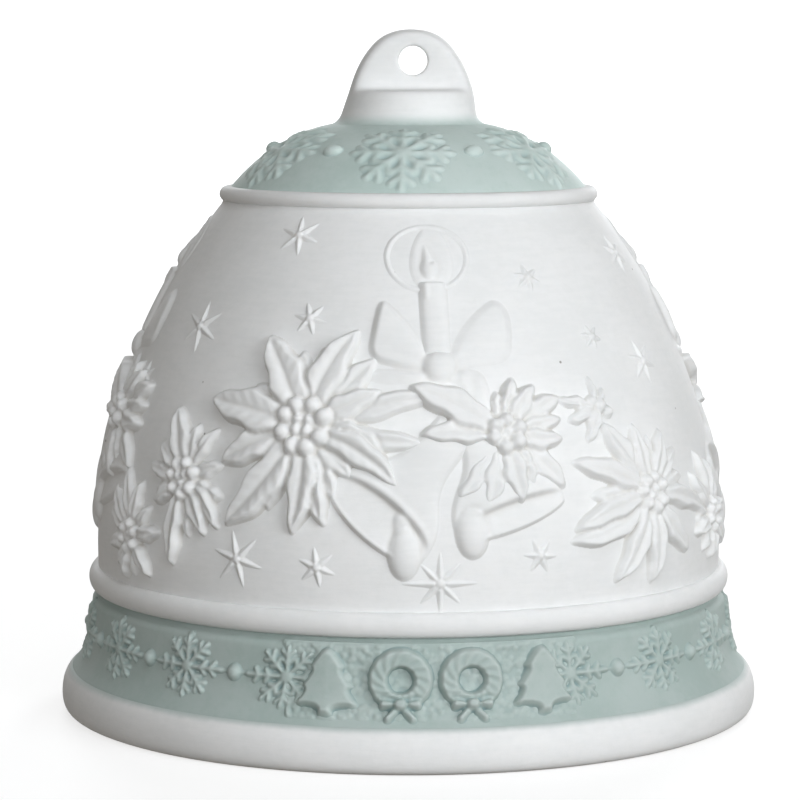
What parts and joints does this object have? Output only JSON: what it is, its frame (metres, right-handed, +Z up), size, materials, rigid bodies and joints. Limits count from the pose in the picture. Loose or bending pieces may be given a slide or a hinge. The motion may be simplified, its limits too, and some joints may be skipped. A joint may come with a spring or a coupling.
{
  "type": "christmas bell ornament",
  "caption": "Bisque porcelain Christmas bell with poinsettia, candle and star relief, sage-green crown and band, hanging lug and a swinging clapper.",
  "frame": {"origin": "centre of the lip's flat underside, on the bell's axis", "axes": "+Z up the bell's axis to the lug; -Y is the front, which one flat face of the lug looks to; the lug's hole runs along Y"},
  "size_m": [0.0784, 0.0784, 0.076],
  "materials": {
    "white_bisque": "matte unglazed",
    "sage_bisque": "matte unglazed, tinted",
    "clapper_wire": "drawn wire"
  },
  "bodies": {
    "bell": {"bell_left_back": "white_bisque", "bell_left_front": "white_bisque", "bell_right_back": "white_bisque", "bell_right_front": "white_bisque", "bell_wall": "white_bisque", "bow_back": "white_bisque", "bow_front": "white_bisque", "bow_left": "white_bisque", "bow_right": "white_bisque", "candle_back": "white_bisque", "candle_front": "white_bisque", "candle_halo_back": "white_bisque", "candle_halo_front": "white_bisque", "candle_halo_left": "white_bisque", "candle_halo_right": "white_bisque", "candle_left": "white_bisque", "candle_right": "white_bisque", "clapper_eye": "clapper_wire", "crown_bead": "white_bisque", "crown_dome": "sage_bisque", "crown_snowflake_1": "sage_bisque", "crown_snowflake_2": "sage_bisque", "crown_snowflake_3": "sage_bisque", "crown_snowflake_4": "sage_bisque", "crown_snowflake_5": "sage_bisque", "crown_snowflake_6": "sage_bisque", "fir_tree_left": "sage_bisque", "fir_tree_right": "sage_bisque", "hanger_lug": "white_bisque", "holly_sprig_back": "white_bisque", "holly_sprig_front": "white_bisque", "lip_ring": "white_bisque", "lower_band": "sage_bisque", "poinsettia_corner_back_left": "white_bisque", "poinsettia_corner_back_right": "white_bisque", "poinsettia_corner_front_left": "white_bisque", "poinsettia_corner_front_right": "white_bisque", "poinsettia_large_back": "white_bisque", "poinsettia_large_front": "white_bisque", "poinsettia_middle_back": "white_bisque", "poinsettia_middle_front": "white_bisque", "poinsettia_middle_left": "white_bisque", "poinsettia_middle_right": "white_bisque", "poinsettia_small_back_left": "white_bisque", "poinsettia_small_back_right": "white_bisque", "poinsettia_small_front_left": "white_bisque", "poinsettia_small_front_right": "white_bisque", "snowflake_garland": "sage_bisque", "waist_bead": "white_bisque", "wreath_left": "sage_bisque", "wreath_right": "sage_bisque"},
    "link": {"clapper_link": "clapper_wire"},
    "clapper": {"clapper_loop": "clapper_wire", "clapper_ball": "white_bisque"}
  },
  "joints": [
    {"name": "link_swing", "type": "hinge", "parent": "bell", "child": "link", "pos_m": [0, 0, 0.0575], "axis": [1, 0, 0], "range_deg": [-38, 38]},
    {"name": "clapper_swing", "type": "hinge", "parent": "link", "child": "clapper", "pos_m": [0, 0, 0.0307], "axis": [0, 1, 0], "range_deg": [-30, 30]}
  ]
}
